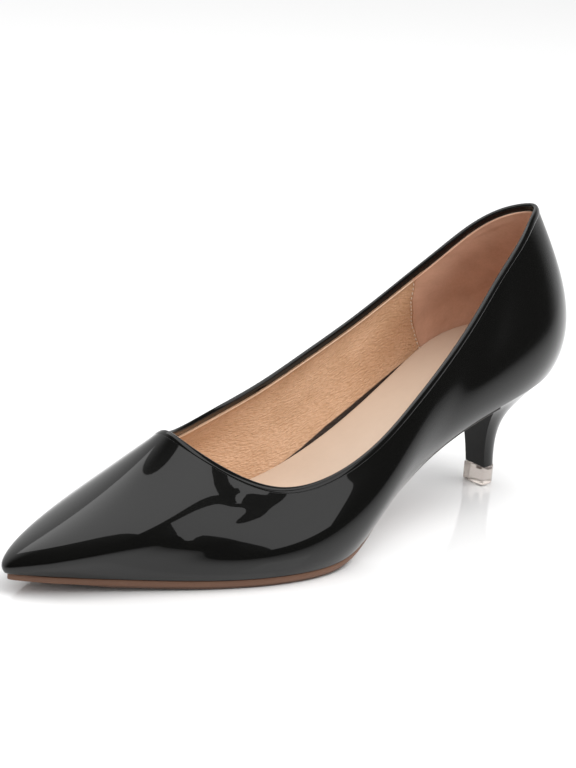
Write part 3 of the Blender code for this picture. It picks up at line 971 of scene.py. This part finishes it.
def insoleRim(side, inwards, width):
    # the rounded edge on one side, from its foot to the top face
    rings = []
    for inset, drop in insoleSizes["rim"]:
        ring = side + inwards * np.minimum(inset, insoleSizes["rimShare"] * width)[:, None]
        ring[:, 2] -= drop
        rings.append(ring)
    return rings


def makeInsole(material):
    sizes = insoleSizes
    outer = np.linspace(0.0, 0.5, sizes["stations"])
    sides = []
    for around, name in ((outer, "outerGap"), (np.mod(1.0 - outer, 1.0), "innerGap")):
        gap = smoothed(insoleValues(around, name), sizes["smoothing"]) + sizes["clearance"]
        lift = smoothed(insoleValues(around, "thickness"), sizes["smoothing"])
        sides.append(besideLining(around, lift, gap))
    span = sides[1] - sides[0]
    width = np.linalg.norm(span, axis=1)
    across = span / np.maximum(width, 1e-6)[:, None]
    rings = insoleRim(sides[0], across, width)
    for share in np.linspace(sizes["margin"], 1.0 - sizes["margin"], sizes["across"]):
        ring = sides[0] + span * share
        hollow = np.sin(math.pi * share) * sizes["crown"] * smoothStep(0.0, sizes["crownWidth"], width)
        ring[:, 2] -= hollow * smoothStep(*sizes["heelHollow"], ring[:, 0])
        ring[:, 2] += sizes["forepartShare"] * hollow * smoothStep(*sizes["forepartCrown"], ring[:, 0])
        ring[:, 2] += easeDepth(insoleEases, ring[:, 0] / 1000.0, np.full(len(ring), share))
        rings.append(ring)
    rings += insoleRim(sides[1], -across, width)[::-1]
    piece = ringSheet("insole_sock", rings, closedRound=False, closedRows=True)
    fitPiece(piece, "insole", material, "insole")
    return piece


def makeInsoleBoard(material):
    # its near-black finish is painted shade at the bottom of the gap between insole and lining
    sizes = insoleSizes
    outer = np.linspace(0.0, 0.5, sizes["boardStations"])
    around = np.concatenate([outer, 1.0 - outer[-2:0:-1]])
    rings = []
    for lift in (sizes["boardLift"], sizes["boardLift"] + sizes["boardThickness"]):
        ring = featherInset(around, sizes["boardInset"])
        ring[:, 2] += lift
        rings.append(ring)
    piece = ringSheet("insole_board", rings, caps=(0, -1))
    return fitPiece(piece, "lining", material)


# Sole
soleSizes = {
    "stations": 130,
    "breastAlong": 47.8,
    "edge": 2.4, "waistEdge": 1.4,
    "tuck": 0.3, "waistTuck": 1.0,
    "treadDepth": 0.9, "waistTreadDepth": 0.4,
    "treadInset": 0.55,
    "toeTuck": 0.9, "toeTuckStart": 238.0,       # the sole stands back under the toe's tip
    "treadToeAlong": 245.0, "treadToeStart": 222.0,
    "waistEnd": 105.0, "forepartStart": 145.0,
    "fitGap": 0.3,
    "edgeRound": ((0.35, 0.0), (0.10, 0.10), (0.0, 0.35)),
    "treadStations": 1500,
    "treadProfile": ((0.0, 0.0), (0.0, 0.75), (0.15, 1.0), (0.6, 1.0)),   # inset and share of the depth
    "ribPitch": 0.95,
    "ribDepth": 0.3,
    "ribStart": 118.0, "ribEnd": 236.0, "ribFade": 6.0,
    "underHeel": 6.0,                            # the tread ends this far in front of the heel
}


def soleRing(around, inset, drop):
    points = featherInset(around, inset)
    points[:, 2] -= soleSizes["fitGap"] + drop
    return points


def soleShares(around):
    # the edge's inset and thickness and the tread's depth change from the waist to the forepart
    sizes = soleSizes
    along = loopValues(feather, around)[:, 0]
    forepart = smoothStep(sizes["waistEnd"], sizes["forepartStart"], along)
    shares = {"along": along}
    for waist, front in (("waistTuck", "tuck"), ("waistEdge", "edge"), ("waistTreadDepth", "treadDepth")):
        shares[front] = sizes[waist] + forepart * (sizes[front] - sizes[waist])
    return shares


def makeSolePlate(material):
    sizes = soleSizes
    outer = np.linspace(0.0, aroundForAlong(sizes["breastAlong"]), sizes["stations"])
    around = np.concatenate([outer, 1.0 - outer[:0:-1]])
    shares = soleShares(around)
    toe = smoothStep(sizes["toeTuckStart"], featherRows[0][0], shares["along"])
    tuck = shares["tuck"] + sizes["toeTuck"] * toe
    rings = [soleRing(around, tuck + inset, drop) for inset, drop in sizes["edgeRound"]]
    for inset, drop in reversed(sizes["edgeRound"]):
        rings.append(soleRing(around, tuck + inset, shares["edge"] - drop))
    piece = ringSheet("sole_plate", rings, caps=(0, -1))
    return fitPiece(piece, "outsole", material, "outsole")


def treadSide(around):
    # the tread's upper edge on one side, shortened at the toe, and its depth
    sizes = soleSizes
    shares = soleShares(around)
    ring = soleRing(around, shares["tuck"] + sizes["treadInset"], shares["edge"])
    start = sizes["treadToeStart"]
    share = (sizes["treadToeAlong"] - start) / (featherRows[0][0] - start)
    ahead = ring[:, 0] > start
    ring[ahead, 0] = start + share * (ring[ahead, 0] - start)
    return ring, shares["treadDepth"]


def ribGroove(along):
    # depth of the grooves between the tread's ribs, which fade out at both ends
    sizes = soleSizes
    start, end, fade = sizes["ribStart"], sizes["ribEnd"], sizes["ribFade"]
    wave = 0.5 - 0.5 * np.cos(2.0 * math.pi * (along - start) / sizes["ribPitch"])
    ribbed = smoothStep(start, start + fade, along) * smoothStep(end, end - fade, along)
    return wave * ribbed * sizes["ribDepth"]


def makeSoleTread(material):
    # the tread under the plate: ribs run across, so that its side shows their ends
    sizes = soleSizes
    last = aroundForAlong(sizes["breastAlong"] + sizes["underHeel"])
    outer = np.linspace(0.0, last, sizes["treadStations"])
    outerRing, depth = treadSide(outer)
    innerRing, depth = treadSide(np.mod(1.0 - outer, 1.0))
    groove = ribGroove(outerRing[:, 0])
    closing = np.ones(len(outer))
    closing[-1] = 0.0
    profile = sizes["treadProfile"]
    rings = []
    for ring, other, steps in ((outerRing, innerRing, profile), (innerRing, outerRing, profile[::-1])):
        inwards = (other - ring) / np.maximum(np.linalg.norm(other - ring, axis=1), 1e-6)[:, None]
        for inset, drop in steps:
            points = ring + inwards * (closing * (inset + (groove if drop > 0.0 else 0.0)))[:, None]
            floor = groove if drop == 1.0 else 0.0
            points[:, 2] = np.maximum(points[:, 2] - closing * (depth * drop - floor), floor)
            rings.append(points)
    piece = ringSheet("sole_tread", rings, closedRound=False, closedRows=True)
    return fitPiece(piece, "outsole", material)


soleLook = {
    "colour": (0.185, 0.094, 0.054, 1.0),
    "deepColour": (0.145, 0.064, 0.036, 1.0),
    "heelDark": (0.012, 0.010, 0.009, 1.0),        # the edge colour goes to near black from the waist to the heel
    "heelDarkFront": -6.0, "heelDarkBack": 18.0,      # places from the middle of the shoe
    "roughness": 0.38,
    "grainCell": 0.4, "grainDepth": 0.03,
    "mottleSize": 12.0, "mottleContrast": 1.4,
}


def makeSoleMaterial():
    look = soleLook
    material, tree, shader = newMaterial("sole_edge", Roughness=look["roughness"], Specular_IOR_Level=0.45)
    vector = objectMillimetres(tree)
    value = mottle(tree, vector, look["mottleSize"], look["mottleContrast"])
    body = mixColours(tree, value, look["deepColour"], look["colour"])
    # darker towards the heel: the edge turns near black behind the waist
    heelDark = mapRange(tree, placeAlong(tree), look["heelDarkFront"], look["heelDarkBack"])
    feed(tree, shader.inputs["Base Color"], mixColours(tree, heelDark, body, look["heelDark"]))
    bumpInto(tree, shader, grain(tree, vector, look["grainCell"])[0], look["grainDepth"])
    return material


# Heel
heelSizes = {
    "ringHalf": 60,
    "levels": 60,
    "breastAlong": 47.5,
    "seatInset": 0.4,
    "footFront": 31.2,
    "footDepth": 8.0,
    "footHalfWidth": 5.3,
    "footAcross": -1.0,
    "backPower": 0.8, "sidePower": 0.9,
    "tipHeight": 7.4,
    "tipProud": 0.3,
    "fitGap": 0.3,
    "bevel": 0.35, "bevelSegments": 3, "bevelAngle": 40.0,
    # the sweep's lower handle: along and up from the foot, at the back and at the front corners
    "rise": ((0.6, 26.5), (3.2, 22.5)),
    # its upper handle: shares of the way from seat to foot along, across and up, at the same two places
    "shares": ((0.54, 0.60, 0.66), (0.92, 0.69, 0.15)),
}


def heelFootRing(proud, height, half):
    sizes = heelSizes
    turn = np.linspace(0.0, 0.5 * math.pi, half)
    depth = sizes["footDepth"] + 2.0 * proud
    back = sizes["footFront"] + proud - depth * np.cos(turn) ** sizes["backPower"]
    across = (sizes["footHalfWidth"] + proud) * np.sin(turn) ** sizes["sidePower"]
    outer = np.stack([back, across, np.full(half, height)], axis=1)
    inner = outer[:0:-1] * np.array([1.0, -1.0, 1.0])
    return np.concatenate([outer, inner]) + np.array([0.0, sizes["footAcross"], 0.0])


def makeHeel(material):
    sizes = heelSizes
    half = sizes["ringHalf"]
    foot = heelFootRing(0.0, sizes["tipHeight"] + sizes["fitGap"], half)
    outer = np.linspace(0.5, aroundForAlong(sizes["breastAlong"]), half)
    around = np.concatenate([outer, 1.0 - outer[:0:-1]])
    seat = featherInset(around, sizes["seatInset"])
    seat[:, 2] -= sizes["fitGap"]
    turn = np.linspace(0.0, 1.0, half)
    frontness = np.concatenate([turn, turn[:0:-1]])[:, None]
    back, front = (np.array(pair) for pair in sizes["rise"])
    rise = back + frontness * (front - back)
    first = foot + np.column_stack([rise[:, 0], np.zeros(len(rise)), rise[:, 1]])
    backShare, frontShare = (np.array(triple) for triple in sizes["shares"])
    second = seat - (seat - foot) * (backShare + frontness * (frontShare - backShare))
    rings = []
    for h in np.linspace(0.0, 1.0, sizes["levels"]):
        k = 1.0 - h
        rings.append(k**3 * foot + 3.0 * k**2 * h * first + 3.0 * k * h**2 * second + h**3 * seat)
    piece = ringSheet("heel_block", rings, caps=(0, -1))
    applyModifier(
        piece, "BEVEL", width=sizes["bevel"] * millimetre, segments=sizes["bevelSegments"],
        limit_method="ANGLE", angle_limit=math.radians(sizes["bevelAngle"]),
    )
    finishShading(piece)
    return fitPiece(piece, "heel_cover", material, "heel")


tipSizes = {
    "ringHalf": 28,
    "rims": ((-0.35, 0.0), (-0.10, 0.10), (0.0, 0.35)),   # proud and height of the rounded rims
    "dowelRadius": 1.5,
    "dowelBottom": 5.0,
    "dowelTop": 7.2,
}
clearTipLook = {
    "colour": (0.76, 0.69, 0.64, 1.0),
    "roughness": 0.14,
    "transmission": 0.8,
    "bending": 1.45,
}


def makeClearTip():
    look = clearTipLook
    return newMaterial(
        "clear_tip", Base_Color=look["colour"], Roughness=look["roughness"],
        Transmission_Weight=look["transmission"], IOR=look["bending"],
    )[0]


def makeHeelTip(material):
    proud, top, half = heelSizes["tipProud"], heelSizes["tipHeight"], tipSizes["ringHalf"]
    rims = tipSizes["rims"]
    rings = [heelFootRing(proud + extra, height, half) for extra, height in rims]
    rings += [heelFootRing(proud + extra, top - height, half) for extra, height in reversed(rims)]
    piece = ringSheet("heel_top_piece", rings, caps=(0, -1))
    return fitPiece(piece, "clear_tip", material, "heel_tip")


def makeDowel(material):
    # the steel pin of the top piece shows through it
    bottom, top = tipSizes["dowelBottom"] * millimetre, tipSizes["dowelTop"] * millimetre
    centre = heelFootRing(0.0, 0.5 * (tipSizes["dowelBottom"] + tipSizes["dowelTop"]), 8).mean(axis=0)
    radius = tipSizes["dowelRadius"] * millimetre
    bpy.ops.object.select_all(action="DESELECT")
    bpy.ops.mesh.primitive_cylinder_add(vertices=32, radius=radius, depth=top - bottom)
    dowel = bpy.context.active_object
    dowel.name = "tip_dowel"
    dowel.data.transform(Matrix.Translation(Vector(toWorld(centre))))
    finishShading(dowel)
    return fitPiece(dowel, "heel_cover", material)


# Scene set

cameraView = {
    "azimuth": 49.0136, "elevation": 18.113, "roll": 3.791,
    "target": (165.024, 36.333, 73.783),       # along, across, height in the shoe
    "distance": 0.850,
    "focalPixels": 2455.94,
    "framePixels": 768,
    "sensor": 36.0,
    "nearest": 0.05,
}


def makeCamera():
    view = cameraView
    azimuth, elevation, roll = (math.radians(view[name]) for name in ("azimuth", "elevation", "roll"))
    level = math.cos(elevation)
    back = Vector((math.sin(azimuth) * level, -math.cos(azimuth) * level, math.sin(elevation)))
    right = Vector((0.0, 0.0, 1.0)).cross(back).normalized()
    up = back.cross(right)
    turnedRight = math.cos(roll) * right + math.sin(roll) * up
    turnedUp = -math.sin(roll) * right + math.cos(roll) * up
    data = bpy.data.cameras.new("camera")
    data.sensor_width = view["sensor"]
    data.lens = view["focalPixels"] * view["sensor"] / view["framePixels"]
    data.clip_start = view["nearest"]
    camera = bpy.data.objects.new("camera", data)
    bpy.context.scene.collection.objects.link(camera)
    spot = Vector(toWorld(np.array(view["target"]))) + back * view["distance"]
    turn = Matrix((turnedRight, turnedUp, back)).transposed().to_4x4()
    camera.matrix_world = Matrix.Translation(spot) @ turn
    bpy.context.scene.camera = camera


floorLook = {
    "size": 12.0,
    "height": -0.0002,         # just under the sole
    "colour": (0.90, 0.90, 0.90, 1.0),
    "roughness": 0.09,
    "specular": 0.9,
}


def makeFloor():
    look = floorLook
    bpy.ops.object.select_all(action="DESELECT")
    bpy.ops.mesh.primitive_plane_add(size=look["size"], location=(0.0, 0.0, look["height"]))
    floor = bpy.context.active_object
    floor.name = "floor"
    material = newMaterial(
        "pale_floor", Base_Color=look["colour"],
        Roughness=look["roughness"], Specular_IOR_Level=look["specular"],
    )[0]
    floor.data.materials.append(material)


# Soft boxes: centre, what they face, width, height, radiance, and whether they are mirrored in the shoe
softBoxes = {
    "overhead": ((-0.175, -0.02, 1.15), (-0.175, -0.02, 0.0), 2.05, 0.66, 1.75, True),
    "side": ((1.235, 0.24, 0.817), (0.0, -0.02, 0.02), 0.60, 0.76, 1.5, True),
    "key": ((0.60, 0.60, 1.50), (0.0, 0.0, 0.0), 1.2, 1.2, 4.6, False),
}
worldLook = {
    "ambient": 0.70,           # on matt surfaces
    "dark": 0.015,             # mirrored where no soft box is
    "backdrop": 0.85,          # mirrored low behind the shoe
    "backDirection": (-0.85, 0.25, -0.35),
    "backEdge": (-0.12, 0.45),
    "throughClear": 0.8,       # seen through the clear top piece
}


def makeLights():
    for name, (spot, aim, width, height, radiance, mirrored) in softBoxes.items():
        light = bpy.data.lights.new(name, "AREA")
        light.shape = "RECTANGLE"
        light.size, light.size_y = width, height
        light.energy = radiance * math.pi * width * height
        lamp = bpy.data.objects.new(name, light)
        bpy.context.scene.collection.objects.link(lamp)
        lamp.location = spot
        facing = Vector(aim) - Vector(spot)
        lamp.rotation_euler = facing.to_track_quat("-Z", "Y").to_euler()
        lamp.visible_camera = False
        lamp.visible_glossy = mirrored


def makeWorld():
    look = worldLook
    world = bpy.data.worlds.new("studio")
    bpy.context.scene.world = world
    world.use_nodes = True
    tree = world.node_tree
    rays = tree.nodes.new("ShaderNodeLightPath").outputs
    inputs = {0: addNode(tree, "ShaderNodeTexCoord").outputs["Generated"], 1: look["backDirection"]}
    toBack = addNode(tree, "ShaderNodeVectorMath", inputs, operation="DOT_PRODUCT").outputs["Value"]
    behind = mapRange(tree, toBack, *look["backEdge"], interpolation_type="SMOOTHSTEP")
    backdrop = arithmetic(tree, "MULTIPLY", behind, look["backdrop"])
    mirrored = arithmetic(tree, "ADD", backdrop, look["dark"])
    seen = {"Diffuse": look["ambient"], "Glossy": mirrored, "Transmission": look["throughClear"]}
    strength = rays["Is Camera Ray"]
    for kind, light in seen.items():
        share = arithmetic(tree, "MULTIPLY", rays["Is " + kind + " Ray"], light)
        strength = arithmetic(tree, "ADD", strength, share)
    background = tree.nodes["Background"]
    background.inputs["Color"].default_value = (1.0, 1.0, 1.0, 1.0)
    feed(tree, background.inputs["Strength"], strength)
    bpy.context.scene.view_settings.view_transform = "Standard"


makeCamera()
makeFloor()
makeLights()
makeWorld()
print("set ready")

patent = makePatent("black_patent", patentLook["coat"])
makeSkin(patent)
makeBinding(patent)
print("upper ready")

makeQuarterLining(makeLining())
makeCounterLining(makeCounterMaterial())
makeLiningStitches(makePlain("thread"))
makeLiningEdge(makePlain("light_edge"))
print("linings ready")

makeInsole(makePlain("insole_skin", size=18.0))
makeInsoleBoard(makePlain("board"))
print("insole ready")

makeSolePlate(makeSoleMaterial())
makeSoleTread(makePlain("tread", useUv=False))
print("sole ready")

makeHeel(makePatent("black_heel", patentLook["heelCoat"]))
makeHeelTip(makeClearTip())
makeDowel(makePlain("dowel_steel", useUv=False, Metallic=0.6))
print("heel ready")
